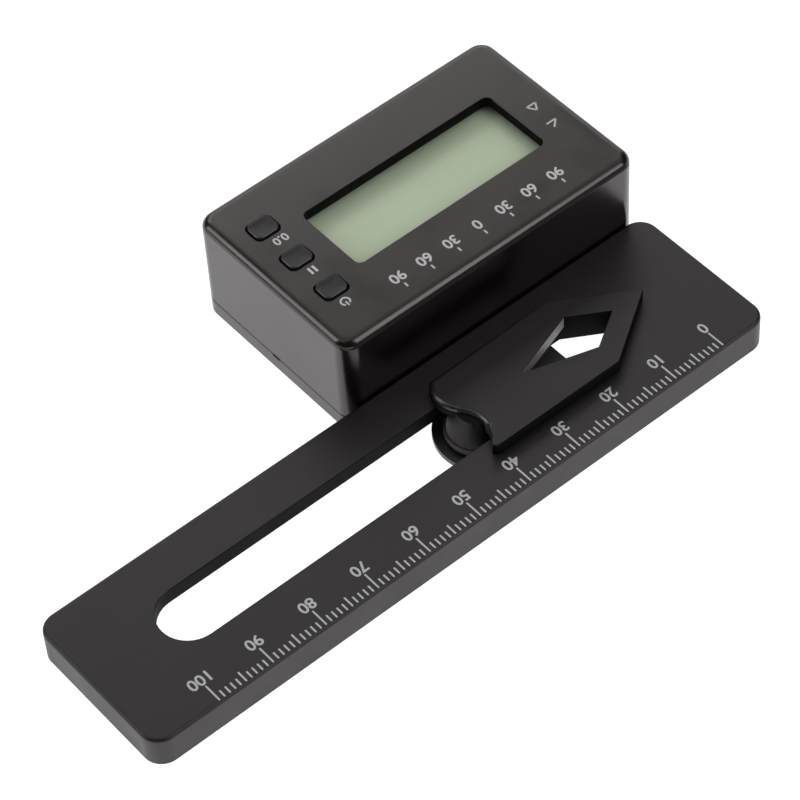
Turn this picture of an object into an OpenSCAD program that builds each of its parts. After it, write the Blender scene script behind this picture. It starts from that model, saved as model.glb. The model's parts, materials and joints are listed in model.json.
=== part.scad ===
// Digital pitch gauge: a slotted scale plate, a display housing behind it and an arrow slider in the slot.
// Millimetres. X runs along the scale from 0 to 100, +Y points to the scale's edge and +Z is up.
// The origin is on the surface that the plate rests on, below the middle of the whole outline.

/* [Plate] */
// Length of the slotted plate
plate_l = 121.8; // [116:0.2:140]
// Width of the slotted plate
plate_w = 29.4; // [28:0.2:36]
// Height of the plate's outer rim
plate_h = 6; // [5.9:0.05:9]
// Radius of the plate's corners
plate_corner_r = 3.3; // [3.2:0.1:6]
// Radius of the plate's top edge
plate_edge_r = 0.6; // [0.2:0.1:1.2]
// Thickness of the web that the slot is cut in
web_t = 3; // [2.4:0.1:3.2]
// Thickness of the rim wall
rim_t = 2; // [1.4:0.1:3]

/* [Slot] */
// Width of the slot
slot_w = 10.35; // [10.2:0.05:12]
// Distance from the scale's edge to the slot's centre line
slot_from_edge = 15.85; // [13.5:0.05:17]
// Distance from the plate's zero end to the slot
slot_start = 17.2; // [14:0.1:17.2]
// Distance from the slot to the plate's other end
slot_end_margin = 13.5; // [8:0.1:14]

/* [Housing] */
// Length of the housing along the scale
case_l = 60; // [59:0.5:70]
// Depth of the housing
case_d = 37.1; // [36.5:0.1:42]
// Height of the housing above the surface that the gauge rests on
case_h = 20.25; // [19.8:0.05:26]
// Distance from the plate's zero end to the housing
case_start = 1.1; // [0:0.05:10]
// Radius of the housing's upright corners
case_corner_r = 2.9; // [2.3:0.1:4]
// Radius of the housing's top edge
case_edge_r = 1.6; // [0.4:0.1:2.2]
// Thickness of the housing's side walls
wall_t = 1.8; // [1.4:0.1:2.2]
// Thickness of the housing's top
top_t = 2; // [1.6:0.1:2.6]
// Height of the housing's tray, up to the parting line
tray_h = 2.8; // [2.6:0.1:4]
// Thickness of the tray's floor
floor_t = 1.6; // [1.2:0.1:1.9]
// Height of the lip that locates the shell on the tray
lip_h = 1.4; // [0.8:0.1:3]
// Thickness of the locating lip
lip_t = 1; // [0.8:0.1:1.2]
// Gap between a lip's end and the corner bosses
lip_end_gap = 1; // [0.5:0.1:2]
// Width of the pry notch in the parting line
notch_w = 1.5; // [1:0.5:6]
// Depth of the pry notch
notch_d = 0.4; // [0.3:0.1:1]

/* [Case screws] */
// Distance from the housing's faces to each case screw
screw_inset = 4.3; // [4.2:0.1:4.8]
// Radius of the case screw's thread
case_screw_r = 0.95; // [0.7:0.05:1]
// Radius of the case screw's head
case_head_r = 1.8; // [1.3:0.1:1.9]
// Height of the case screw's head
case_head_h = 1.2; // [0.8:0.1:1.6]
// Length of the case screw below its head
case_screw_l = 10; // [7:0.5:11]
// Radius of the screw bosses in the shell
case_boss_r = 1.9; // [1.6:0.1:2]
// Height of the screw bosses in the shell
case_boss_h = 10.5; // [9.5:0.5:11]
// Length of a boss that isn't drilled
case_boss_end = 1; // [0.5:0.1:1.2]
// Distance that a floor boss reaches into the tray's walls
boss_sink = 0.2; // [0.1:0.1:0.5]

/* [Display] */
// Radius of the display opening's corners
lcd_open_r = 1.2; // [0.3:0.1:3]
// Distance from the housing's zero end to the display opening
lcd_open_start = 8.6; // [8:0.1:10]
// Distance from the display opening to the housing's key end
lcd_open_end = 12.8; // [12.7:0.1:15]
// Distance from the housing's plate side to the display opening
lcd_open_from_plate = 12; // [11:0.05:13]
// Distance from the display opening to the housing's back
lcd_open_to_back = 10.95; // [10.9:0.05:13]
// Distance that the clear window and the display reach past the opening on each side
lcd_overlap = 1.8; // [1.4:0.1:2]
// Thickness of the clear window
lens_t = 1; // [0.6:0.1:1.4]
// Thickness of the display panel
lcd_t = 2.2; // [1.6:0.1:2.6]
// Wall thickness of the display's frame
lcd_frame_t = 0.9; // [0.6:0.1:1]
// Height of the elastomer strips between board and display
zebra_h = 2.8; // [2.4:0.1:3.2]
// Width of an elastomer strip
zebra_w = 2; // [1.5:0.1:2.5]
// Distance from an elastomer strip's end to the display's end
zebra_end_gap = 2; // [1:0.1:4]

/* [Buttons] */
// Length of a button along the scale
button_l = 4.4; // [3.4:0.1:4.6]
// Width of a button
button_w = 3.7; // [2.6:0.1:3.9]
// Radius of a button's corners
button_r = 0.9; // [0.3:0.1:1.2]
// Height that a button stands above the housing
button_proud = 0.4; // [0.2:0.1:0.8]
// Distance between neighbouring buttons
button_pitch = 8.4; // [8:0.1:8.6]
// Distance from the housing's end face to the row of buttons
button_inset = 6.6; // [6.4:0.1:6.7]
// Distance of the row's middle behind the housing's middle
button_row_back = 1.05; // [0.5:0.05:1.1]
// Travel of a button
button_travel = 0.5; // [0.3:0.05:0.6]
// Width of the flange that keeps a button in
button_flange = 0.6; // [0.4:0.1:0.7]
// Thickness of that flange
button_flange_t = 0.8; // [0.5:0.1:1]
// Radius of a button's stem
button_stem_r = 1.1; // [0.8:0.1:1.3]
// Gap between a button and its opening
button_gap = 0.2; // [0.1:0.05:0.25]

/* [Circuit board] */
// Thickness of the board
board_t = 1.6; // [1:0.1:1.8]
// Gap between the board and the housing's walls
board_gap = 0.4; // [0.3:0.1:0.8]
// Radius of the board screw's thread
board_screw_r = 0.8; // [0.6:0.05:0.9]
// Radius of the board screw's head
board_head_r = 1.6; // [1.2:0.1:1.8]
// Height of the board screw's head
board_head_h = 1.1; // [0.7:0.1:1.4]
// Length of the board screw below its head
board_screw_l = 5; // [4:0.5:5.5]
// Depth of a board screw's hole past the screw's end
board_hole_end = 0.5; // [0.2:0.1:0.8]
// Radius of the board's screw bosses
board_boss_r = 1.9; // [1.6:0.1:2]
// Distance from the housing's long faces to each board screw
board_screw_inset = 4.6; // [4.4:0.1:4.6]
// Distance between the board screws along the scale
board_screw_pitch = 22; // [14:1:30]
// Length of a switch body along the scale
switch_l = 3.4; // [3:0.1:3.5]
// Width of a switch body
switch_w = 2.8; // [2.4:0.1:3]
// Height of a switch body
switch_h = 2; // [1.8:0.1:2.2]
// Radius of a switch plunger
plunger_r = 0.8; // [0.5:0.05:0.9]
// Height that a plunger stands out of its switch
plunger_out = 0.8; // [0.7:0.05:1]
// Thickness of a switch's floor
switch_floor = 0.2; // [0.1:0.05:0.3]

/* [Parts on the board] */
// Radius of the controller chip's resin drop
chip_r = 4; // [3:0.25:5]
// Height of the resin drop
chip_h = 1.3; // [0.8:0.1:2]
// Distance from the housing's key end to the chip, the sensor and the crystal
chip_inset = 14.75; // [14:0.25:15.5]
// Distance from the housing's long faces to the sensor and the crystal
sensor_inset = 7; // [6:0.25:8]
// Side of the tilt sensor
sensor_side = 3; // [2:0.25:4]
// Height of the tilt sensor
sensor_h = 1; // [0.6:0.1:1.4]
// Radius of the crystal's can
crystal_r = 1; // [0.8:0.1:1.2]
// Length of the crystal's can
crystal_l = 6; // [5:0.5:8]
// Length of a chip capacitor
capacitor_l = 2; // [1:0.1:3]
// Width of a chip capacitor
capacitor_w = 1.25; // [0.5:0.05:1.5]
// Height of a chip capacitor
capacitor_h = 0.9; // [0.4:0.1:1.4]
// Distance between chip capacitors
capacitor_pitch = 3; // [2:0.1:3.5]
// Distance from the housing's key end to the row of capacitors
capacitor_inset = 6.8; // [5:0.1:8]

/* [Battery] */
// Radius of the coin cell
cell_r = 10; // [9:0.1:10.3]
// Thickness of the coin cell
cell_t = 3.2; // [2:0.1:3.6]
// Distance from the housing's middle to the cell, towards zero
cell_shift = 6; // [4:0.5:8]
// Radius of the edge step on the cell's minus face
cell_step = 1; // [0.5:0.1:2]
// Height of that step
cell_step_h = 0.4; // [0.2:0.1:0.8]
// Gap between the cell and the cap's ring
cell_gap = 0.3; // [0.2:0.05:0.4]
// Distance that the battery cap sits above the surface
cap_sink = 0.2; // [0.1:0.05:0.3]
// Width of the ring that the battery cap turns on
cap_ring_t = 0.8; // [0.6:0.1:1]
// Height of that ring and its lugs
cap_ring_h = 1; // [0.8:0.1:1.2]
// Distance that a lug reaches past the cap
lug_reach = 1; // [0.6:0.1:1.2]
// Angle that a lug spans
lug_angle = 24; // [15:1:30]
// Gap between a lug's end and the well
lug_gap = 0.3; // [0.2:0.05:0.4]
// Angle that a lug's notch is wider than the lug
lug_play = 4; // [2:0.5:8]
// Angle that the cap turns to let go
cap_turn = 45; // [40:1:60]
// Length of the coin slot
coin_slot_l = 14; // [10:0.5:18]
// Width of the coin slot
coin_slot_w = 1.8; // [1.2:0.1:2.5]
// Depth of the coin slot
coin_slot_d = 0.8; // [0.4:0.1:1]
// Wall of the battery well
well_t = 1.1; // [0.8:0.1:1.2]
// Thickness of the contact strips
contact_t = 0.3; // [0.2:0.05:0.4]
// Width of the contact strips
contact_w = 4; // [3:0.25:5]
// Length of a contact's soldered foot
contact_foot = 3; // [2:0.25:4]
// Length of the sprung arm on the cell's minus face
contact_arm = 5; // [4:0.25:6]
// Height that the arm's end turns up
contact_rise = 1; // [0.5:0.1:2]
// Gap between the plus strip and the cell's side
contact_side_gap = 0.1; // [0.05:0.05:0.2]
// Gap round the plus strip in the well's wall
contact_room = 0.5; // [0.3:0.1:0.8]

/* [Slider] */
// Distance from the scale's zero to the slider's tip
slider_at = 2.7; // [2.7:0.1:50]
// Distance from the plate's zero end to the scale's zero
scale_start = 9.6; // [9.5:0.05:9.7]
// Length of the slider's top
slider_l = 37.6; // [37.4:0.1:38.5]
// Width of the slider's top
slider_w = 16.8; // [15:0.1:17.2]
// Length of the slider's point
slider_point = 12.8; // [10:0.1:14]
// Height of the slider above the plate
slider_h = 2.3; // [1.8:0.1:3]
// Radius of the slider's far rear corner
slider_corner_r = 2.5; // [1:0.1:3]
// Radius of the bulge in the slider's rear edge
bulge_r = 5.7; // [5:0.1:6.5]
// Distance of the bulge's middle from the centre line
bulge_off = 4.6; // [4:0.1:5]
// Height of the bulge
bulge_h = 1; // [0.4:0.1:1.6]
// Radius of the thumb scoop in the slider's rear edge
scoop_r = 6; // [5:0.1:7]
// Distance of the scoop's middle from the centre line
scoop_off = 2.9; // [2.7:0.1:3.2]
// Depth of the scoop
scoop_d = 1.6; // [0.6:0.1:2]
// Distance that the corner beside the scoop reaches past the rear edge
prong_reach = 0.6; // [0.1:0.1:0.8]
// Radius of that corner
prong_r = 1.1; // [0.5:0.1:1.2]
// Distance from the tip to the window's front end
window_start = 6.6; // [5.5:0.1:7.5]
// Distance from the tip to the window's widest place
window_mid = 13.1; // [12:0.1:14]
// Distance from the tip to the window's rear end
window_end = 25.7; // [22:0.1:26]
// Width of the window
window_w = 8.1; // [6:0.1:8.3]
// Distance from the tip to the middle of the guide's front end
guide_start = 11.15; // [11.1:0.05:11.5]
// Distance from the tip to the middle of the guide's rear end
guide_end = 34.6; // [34:0.1:35]
// Radius of the top of the sloping nose at the guide's rear end
nose_top_r = 3.4; // [2.6:0.1:4]
// Distance from the slider's top down to the top of the nose
nose_drop = 0.9; // [0.6:0.1:1.4]
// Distance from the tip to the rear end of the pocket in the guide
pocket_end = 23; // [18:0.1:24]
// Thickness of the guide's walls beside the pocket
guide_wall = 0.6; // [0.5:0.1:0.9]
// Gap between the guide and the slot on each side
guide_gap = 0.15; // [0.1:0.05:0.3]

/* [Slider clamp] */
// Distance from the tip to the pad's front edge
pad_start = 15.4; // [15:0.1:17]
// Thickness of the friction pad
pad_t = 1; // [0.8:0.05:1.1]
// Distance that the pad stays inside the backplate's outline
pad_inset = 0.9; // [0.3:0.1:1]
// Radius of the pad's round rear end
pad_end_r = 5.4; // [5.3:0.1:6]
// Height left for the springs
spring_h = 0.65; // [0.5:0.05:0.7]
// Thickness of the spring strip
spring_t = 0.2; // [0.1:0.05:0.3]
// Width of a spring strip
spring_w = 3; // [2:0.1:3.4]
// Length of a spring strip
spring_l = 17; // [12:0.5:18]
// Distance that a spring reaches into the clamp's round end
spring_back = 1; // [0:0.1:2]
// Gap between a spring and the posts' holes
spring_gap = 0.3; // [0.2:0.1:0.5]
// Thickness of the backplate
backplate_t = 1; // [0.9:0.05:1.05]
// Radius of the backplate's front corners
backplate_corner_r = 1.5; // [0.5:0.1:2.5]
// Distance of the clamp's round end before the guide's
clamp_back = 1.5; // [1:0.1:2.5]
// Radius of the posts that carry the backplate
post_r = 2.2; // [1.8:0.1:2.4]
// Distance between the two posts
post_pitch = 5.6; // [5:0.1:6]
// Radius of the slider screw's thread
slider_screw_r = 0.85; // [0.6:0.05:0.95]
// Radius of the slider screw's countersunk head
slider_head_r = 1.7; // [1.3:0.1:1.8]
// Height of that head
slider_head_h = 0.85; // [0.6:0.05:0.85]
// Length of the slider screw with its head
slider_screw_l = 4.5; // [4:0.25:4.75]
// Depth of a slider screw's hole past the screw's end
slider_hole_end = 0.4; // [0.2:0.1:0.6]

/* [Clearances] */
// Small gap between pieces that are put together
fit_gap = 0.05; // [0.02:0.01:0.1]
// Gap round a screw's thread in its own hole
thread_gap = 0.03; // [0.01:0.01:0.06]
// Gap round a screw in a hole that it passes through
pass_gap = 0.15; // [0.1:0.05:0.25]
// Gap round a piece that turns or slides in a bore
run_gap = 0.08; // [0.04:0.01:0.1]

/* [Hidden] */
$fn = 64;
// Length by which a cutting body passes the surface that it cuts
over = 1;

// Places along and across the plate
depth = plate_w + case_d;
zero_end = -plate_l / 2;
front_y = depth / 2;
join_y = front_y - plate_w;
slot_y = front_y - slot_from_edge;
slot_r = slot_w / 2;
slot_x0 = zero_end + slot_start + slot_r;
slot_x1 = -zero_end - slot_end_margin - slot_r;
web_z = plate_h - web_t;

// Places in the housing
case_x = zero_end + case_start + case_l / 2;
case_y = join_y - case_d / 2;
ceiling_z = case_h - top_t;
room_l = case_l - 2 * wall_t;
room_d = case_d - 2 * wall_t;
room_r = case_corner_r - wall_t;
screw_dx = case_l / 2 - screw_inset;
screw_dy = case_d / 2 - screw_inset;
floor_boss_r = screw_inset - wall_t + boss_sink;

// The stack under the display opening
lcd_open_l = case_l - lcd_open_start - lcd_open_end;
lcd_open_w = case_d - lcd_open_from_plate - lcd_open_to_back;
lcd_x = case_x - case_l / 2 + lcd_open_start + lcd_open_l / 2;
lcd_y = join_y - lcd_open_from_plate - lcd_open_w / 2;
lens_l = lcd_open_l + 2 * lcd_overlap;
lens_w = lcd_open_w + 2 * lcd_overlap;
lens_z = ceiling_z - lens_t;
lcd_z = lens_z - fit_gap - lcd_t;
board_z = lcd_z - zebra_h;
under_z = board_z - board_t;

// Places of the parts under the board
chip_x = case_x + case_l / 2 - chip_inset;
sensor_dy = case_d / 2 - sensor_inset;

// Places of the buttons
button_x = case_x + case_l / 2 - button_inset;
button_y0 = case_y - button_row_back;
button_top = case_h + button_proud;
switch_top = board_z + switch_h;
stem_z = switch_top + plunger_out;
flange_top = ceiling_z - 2 * fit_gap;
flange_z = flange_top - button_flange_t;

// Places of the battery's pieces
cell_x = case_x - cell_shift;
cell_z = floor_t + fit_gap;
cap_ring_r = cell_r + cell_gap;
cap_r = cap_ring_r + cap_ring_t;
lug_r = cap_r + lug_reach;
lug_z = floor_t + 2 * fit_gap;
lug_top = floor_t + cap_ring_h - 2 * fit_gap;
well_step = floor_t + cap_ring_h + 2 * fit_gap;
well_top = cell_z + cell_t;
lug_room_r = lug_r + lug_gap;
well_r = lug_room_r + well_t;
lug_count = 3;

// Places of the slider's pieces, with the tip as their own zero
tip_x = zero_end + scale_start + slider_at;
guide_r = slot_r - guide_gap;
guide_z = web_z + guide_gap;
slider_z = plate_h + fit_gap;
slider_top = plate_h + slider_h;
pad_top = web_z - thread_gap;
pad_z = pad_top - pad_t;
backplate_top = pad_z - spring_h;
backplate_z = backplate_top - backplate_t;
clamp_r = slider_w / 2;
clamp_end = guide_end - clamp_back;
spring_end = clamp_end + spring_back;
post_xs = [guide_end - post_pitch, guide_end];
pocket_half = guide_r - guide_wall;
pocket_x = window_start + (window_mid - window_start) * pocket_half / (window_w / 2);

// Colours as the photograph shows them
plate_colour = [0.09, 0.09, 0.09];
case_colour = [0.12, 0.12, 0.12];
button_colour = [0.16, 0.16, 0.17];
lcd_colour = [0.62, 0.68, 0.58];
lens_colour = [0.85, 0.9, 0.88, 0.35];
board_colour = [0.1, 0.3, 0.16];
steel_colour = [0.7, 0.7, 0.72];
gold_colour = [0.8, 0.66, 0.3];
rubber_colour = [0.05, 0.05, 0.05];

// Flat rectangle with round corners
module rounded_rect(l, d, r) {
    square([l - 2 * r, d], center = true);
    square([l, d - 2 * r], center = true);
    for (sx = [-1, 1], sy = [-1, 1])
        translate([sx * (l / 2 - r), sy * (d / 2 - r)])
            circle(r);
}

// Half of an upright section whose top outer edge is round
module edge_section(half, h, f) {
    square([half - f, h]);
    square([half, h - f]);
    translate([half - f, h - f])
        intersection() {
            circle(f);
            square(f);
        }
}

// Whole upright section with both top edges round
module block_section(half, h, f) {
    edge_section(half, h, f);
    mirror([1, 0])
        edge_section(half, h, f);
}

// Block with round upright corners and a round top edge, standing on z = 0
module soft_block(l, d, h, r, f) {
    for (sx = [-1, 1], sy = [-1, 1])
        translate([sx * (l / 2 - r), sy * (d / 2 - r), 0])
            rotate_extrude()
                edge_section(r, h, f);
    rotate([90, 0, 0])
        linear_extrude(d - 2 * r, center = true)
            block_section(l / 2, h, f);
    rotate([90, 0, 90])
        linear_extrude(l - 2 * r, center = true)
            block_section(d / 2, h, f);
}

// The four case screw places
module at_case_screws() {
    for (sx = [-1, 1], sy = [-1, 1])
        translate([case_x + sx * screw_dx, case_y + sy * screw_dy, 0])
            children();
}

// The four board screw places
module at_board_screws() {
    for (sx = [-1, 1], sy = [-1, 1])
        translate([lcd_x + sx * board_screw_pitch / 2, case_y + sy * (case_d / 2 - board_screw_inset), 0])
            children();
}

// The place of one button: 0 is zero, 1 is hold and 2 is power
module at_button(index) {
    translate([button_x, button_y0 + (index - 1) * button_pitch, 0])
        children();
}

// The slider's own frame: tip at zero, X to its rear end, Y to the scale
module at_slider() {
    translate([tip_x, slot_y, 0])
        children();
}

// Slotted plate, open underneath, in one with the tray that the housing stands on
module base_plate() {
    color(plate_colour)
    difference() {
        union() {
            difference() {
                translate([0, join_y + plate_w / 2, 0])
                    soft_block(plate_l, plate_w, plate_h, plate_corner_r, plate_edge_r);
                translate([0, join_y + plate_w / 2, -over])
                    linear_extrude(web_z + over)
                        rounded_rect(plate_l - 2 * rim_t, plate_w - 2 * rim_t, plate_corner_r - rim_t);
            }
            case_tray();
        }
        slot_cut();
        battery_hole();
        at_case_screws()
            translate([0, 0, -over]) {
                cylinder(r = case_screw_r + pass_gap, h = tray_h + 2 * over);
                cylinder(r = case_head_r + pass_gap, h = case_head_h + fit_gap + over);
            }
    }
}

// The slot, cut through the web
module slot_cut() {
    translate([0, slot_y, 0]) {
        for (x = [slot_x0, slot_x1])
            translate([x, 0, -over])
                cylinder(r = slot_r, h = plate_h + 2 * over);
        translate([slot_x0, -slot_r, -over])
            cube([slot_x1 - slot_x0, slot_w, plate_h + 2 * over]);
    }
}

// Top and sides of the housing, with its screw bosses
module front_shell() {
    color(case_colour)
    difference() {
        union() {
            difference() {
                translate([case_x, case_y, tray_h])
                    soft_block(case_l, case_d, case_h - tray_h, case_corner_r, case_edge_r);
                translate([case_x, case_y, tray_h - over])
                    linear_extrude(ceiling_z - tray_h + over)
                        rounded_rect(room_l, room_d, room_r);
            }
            case_bosses();
            at_board_screws()
                translate([0, 0, board_z])
                    cylinder(r = board_boss_r, h = ceiling_z - board_z + top_t / 2);
        }
        translate([lcd_x, lcd_y, ceiling_z - over])
            linear_extrude(top_t + 2 * over)
                rounded_rect(lcd_open_l, lcd_open_w, lcd_open_r);
        for (index = [0:2])
            at_button(index)
                translate([0, 0, ceiling_z - over])
                    linear_extrude(top_t + 2 * over)
                        button_outline(button_gap);
        at_case_screws()
            translate([0, 0, tray_h - over])
                cylinder(r = case_screw_r + thread_gap, h = case_boss_h - case_boss_end + over);
        at_board_screws()
            translate([0, 0, board_z - over])
                cylinder(r = board_screw_r + thread_gap, h = board_screw_l - board_t + board_hole_end + over);
    }
}

// Screw bosses in the shell's corners, each tied to both walls
module case_bosses() {
    reach = screw_inset - wall_t / 2;
    for (sx = [-1, 1], sy = [-1, 1])
        translate([case_x + sx * screw_dx, case_y + sy * screw_dy, tray_h]) {
            cylinder(r = case_boss_r, h = case_boss_h);
            translate([sx * reach / 2, 0, case_boss_h / 2])
                cube([reach, case_boss_r, case_boss_h], center = true);
            translate([0, sy * reach / 2, case_boss_h / 2])
                cube([case_boss_r, reach, case_boss_h], center = true);
        }
}

// Bottom of the housing up to the parting line, with the screw bosses, the lips and the battery well
module case_tray() {
    difference() {
        union() {
            translate([case_x, case_y, 0])
                linear_extrude(tray_h)
                    rounded_rect(case_l, case_d, case_corner_r);
            translate([case_x, join_y, tray_h / 2])
                cube([case_l - 2 * case_corner_r, rim_t, tray_h], center = true);
        }
        translate([case_x, case_y, floor_t])
            linear_extrude(tray_h)
                rounded_rect(room_l, room_d, room_r);
        translate([case_x + case_l / 2 - notch_d, case_y - notch_w / 2, tray_h - notch_d])
            cube([notch_d + over, notch_w, notch_d + over]);
    }
    tray_lips();
    at_case_screws()
        translate([0, 0, floor_t - fit_gap])
            cylinder(r = floor_boss_r, h = tray_h - floor_t + fit_gap);
    translate([cell_x, case_y, floor_t - fit_gap])
        cylinder(r = well_r, h = well_top - floor_t + fit_gap);
}

// Straight lips along the four walls, clear of the corner bosses
module tray_lips() {
    lip_l = 2 * (screw_dx - case_boss_r - lip_end_gap);
    lip_w = 2 * (screw_dy - case_boss_r - lip_end_gap);
    h = tray_h + lip_h - floor_t + fit_gap;
    for (s = [-1, 1]) {
        translate([case_x, case_y + s * (room_d / 2 - fit_gap - lip_t / 2), floor_t - fit_gap + h / 2])
            cube([lip_l, lip_t, h], center = true);
        translate([case_x + s * (room_l / 2 - fit_gap - lip_t / 2), case_y, floor_t - fit_gap + h / 2])
            cube([lip_t, lip_w, h], center = true);
    }
}

// Opening for the battery cap, room for its lugs, and the well round the cell
module battery_hole() {
    translate([cell_x, case_y, 0]) {
        translate([0, 0, -over])
            cylinder(r = cap_r + run_gap, h = tray_h + 2 * over);
        translate([0, 0, floor_t])
            cylinder(r = lug_room_r, h = well_step - floor_t);
        translate([0, 0, floor_t])
            cylinder(r = cap_ring_r, h = well_top - floor_t + over);
        for (k = [0:lug_count - 1])
            rotate(k * 360 / lug_count - cap_turn)
                translate([0, 0, -over])
                    ring_sector(cap_ring_r, lug_r + pass_gap, floor_t + 2 * over, lug_angle + lug_play);
        translate([cell_r - contact_room, -contact_w / 2 - contact_room, well_step])
            cube([well_r, contact_w + 2 * contact_room, well_top]);
    }
}

// Stretch of a ring, centred on +X
module ring_sector(r1, r2, h, angle) {
    rotate(-angle / 2)
        rotate_extrude(angle = angle)
            translate([r1, 0])
                square([r2 - r1, h]);
}

// Clear window behind the display opening
module lcd_window() {
    color(lens_colour)
    translate([lcd_x, lcd_y, lens_z])
        linear_extrude(lens_t)
            rounded_rect(lens_l, lens_w, lcd_open_r);
}

// Display panel
module lcd_panel() {
    color(lcd_colour)
    translate([lcd_x, lcd_y, lcd_z + lcd_t / 2])
        cube([lens_l, lens_w, lcd_t], center = true);
}

// Frame that holds the display on the board
module lcd_frame() {
    inner_l = lens_l + 2 * fit_gap;
    inner_w = lens_w + 2 * fit_gap;
    color(button_colour)
    translate([lcd_x, lcd_y, board_z])
        difference() {
            linear_extrude(lcd_z + lcd_t - board_z)
                rounded_rect(inner_l + 2 * lcd_frame_t, inner_w + 2 * lcd_frame_t, lcd_frame_t);
            translate([0, 0, (lcd_z + lcd_t - board_z) / 2])
                cube([inner_l, inner_w, lcd_z + lcd_t], center = true);
        }
}

// Two elastomer strips between the board and the display's edges
module zebra_strips() {
    color(rubber_colour)
    for (s = [-1, 1])
        translate([lcd_x, lcd_y + s * (lens_w / 2 - zebra_w / 2 - fit_gap), board_z + zebra_h / 2])
            cube([lens_l - 2 * zebra_end_gap, zebra_w, zebra_h], center = true);
}

// Circuit board, cut out round the case bosses
module circuit_board() {
    color(board_colour)
    difference() {
        translate([case_x, case_y, under_z])
            linear_extrude(board_t)
                rounded_rect(room_l - 2 * board_gap, room_d - 2 * board_gap, room_r);
        board_corner_cuts();
        at_board_screws()
            translate([0, 0, under_z - over])
                cylinder(r = board_screw_r + pass_gap, h = board_t + 2 * over);
    }
}

// Room for the case bosses and the ribs that tie them to the walls
module board_corner_cuts() {
    r = case_boss_r + board_gap;
    side = screw_inset + over;
    for (sx = [-1, 1], sy = [-1, 1])
        translate([case_x + sx * screw_dx, case_y + sy * screw_dy, under_z - over]) {
            cylinder(r = r, h = board_t + 2 * over);
            translate([sx * (side - r) / 2, sy * side / 2, board_t / 2 + over])
                cube([side + r, side, board_t + 2 * over], center = true);
            translate([sx * side / 2, sy * (side - r) / 2, board_t / 2 + over])
                cube([side, side + r, board_t + 2 * over], center = true);
        }
}

// Resin drop over the controller, under the board
module controller_chip() {
    ball_r = (chip_r * chip_r + chip_h * chip_h) / (2 * chip_h);
    color(rubber_colour)
    translate([chip_x, case_y, under_z])
        rotate_extrude()
            intersection() {
                translate([0, ball_r - chip_h])
                    circle(ball_r);
                translate([0, -chip_h])
                    square([2 * chip_r, chip_h]);
            }
}

// Tilt sensor, under the board
module tilt_sensor() {
    color(rubber_colour)
    translate([chip_x, case_y + sensor_dy, under_z - sensor_h / 2])
        cube([sensor_side, sensor_side, sensor_h], center = true);
}

// Crystal can, lying against the board's underside
module crystal() {
    color(steel_colour)
    translate([chip_x, case_y - sensor_dy, under_z - crystal_r])
        rotate([0, 90, 0])
            cylinder(r = crystal_r, h = crystal_l, center = true);
}

// Row of chip capacitors, under the board
module capacitors() {
    x = case_x + case_l / 2 - capacitor_inset;
    color(gold_colour)
    for (k = [-1.5, -0.5, 0.5, 1.5])
        translate([x, case_y + k * capacitor_pitch, under_z - capacitor_h / 2])
            cube([capacitor_l, capacitor_w, capacitor_h], center = true);
}

// Bodies of the three switches, each with a blind bore for its plunger
module tact_switches() {
    color(steel_colour)
    for (index = [0:2])
        at_button(index)
            difference() {
                translate([0, 0, board_z + switch_h / 2])
                    cube([switch_l, switch_w, switch_h], center = true);
                translate([0, 0, board_z + switch_floor])
                    cylinder(r = plunger_r + run_gap, h = switch_h);
            }
}

// Outline of a button, with a margin round it
module button_outline(margin) {
    rounded_rect(button_l + 2 * margin, button_w + 2 * margin, button_r + margin);
}

// Plunger of one switch
module plunger(index) {
    foot_z = board_z + switch_floor + button_travel + fit_gap;
    color(button_colour)
    at_button(index)
        translate([0, 0, foot_z])
            cylinder(r = plunger_r, h = stem_z - foot_z);
}

// One button: cap, retaining flange and stem
module button(index) {
    color(button_colour)
    at_button(index) {
        translate([0, 0, flange_top - fit_gap])
            linear_extrude(button_top - flange_top + fit_gap)
                button_outline(0);
        translate([0, 0, flange_z])
            linear_extrude(button_flange_t)
                button_outline(button_flange);
        translate([0, 0, stem_z])
            cylinder(r = button_stem_r, h = flange_z - stem_z + fit_gap);
    }
}

module plunger_zero() { plunger(0); }
module plunger_hold() { plunger(1); }
module plunger_power() { plunger(2); }
module button_zero() { button(0); }
module button_hold() { button(1); }
module button_power() { button(2); }

// Coin cell, plus side down
module coin_cell() {
    color(steel_colour)
    translate([cell_x, case_y, cell_z]) {
        cylinder(r = cell_r, h = cell_t - cell_step_h);
        cylinder(r = cell_r - cell_step, h = cell_t);
    }
}

// Springy strip from the board to the cell's minus face
module negative_contact() {
    low = cell_z + cell_t + fit_gap;
    foot_x = contact_arm + contact_foot;
    end_x = -contact_arm / 2;
    color(gold_colour)
    translate([cell_x, case_y + contact_w / 2, 0])
        rotate([90, 0, 0])
            linear_extrude(contact_w)
                polygon([[foot_x, under_z], [foot_x, under_z - contact_t], [contact_arm, under_z - contact_t],
                         [0, low], [end_x, low + contact_rise], [end_x, low + contact_rise + contact_t],
                         [0, low + contact_t], [contact_arm - contact_t, under_z]]);
}

// Strip from the board to the cell's side
module positive_contact() {
    low = well_step + contact_room;
    color(gold_colour)
    translate([cell_x + cell_r + contact_side_gap, case_y - contact_w / 2, 0]) {
        translate([0, 0, low])
            cube([contact_t, contact_w, under_z - low]);
        translate([0, 0, under_z - contact_t])
            cube([contact_foot, contact_w, contact_t]);
    }
}

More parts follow.
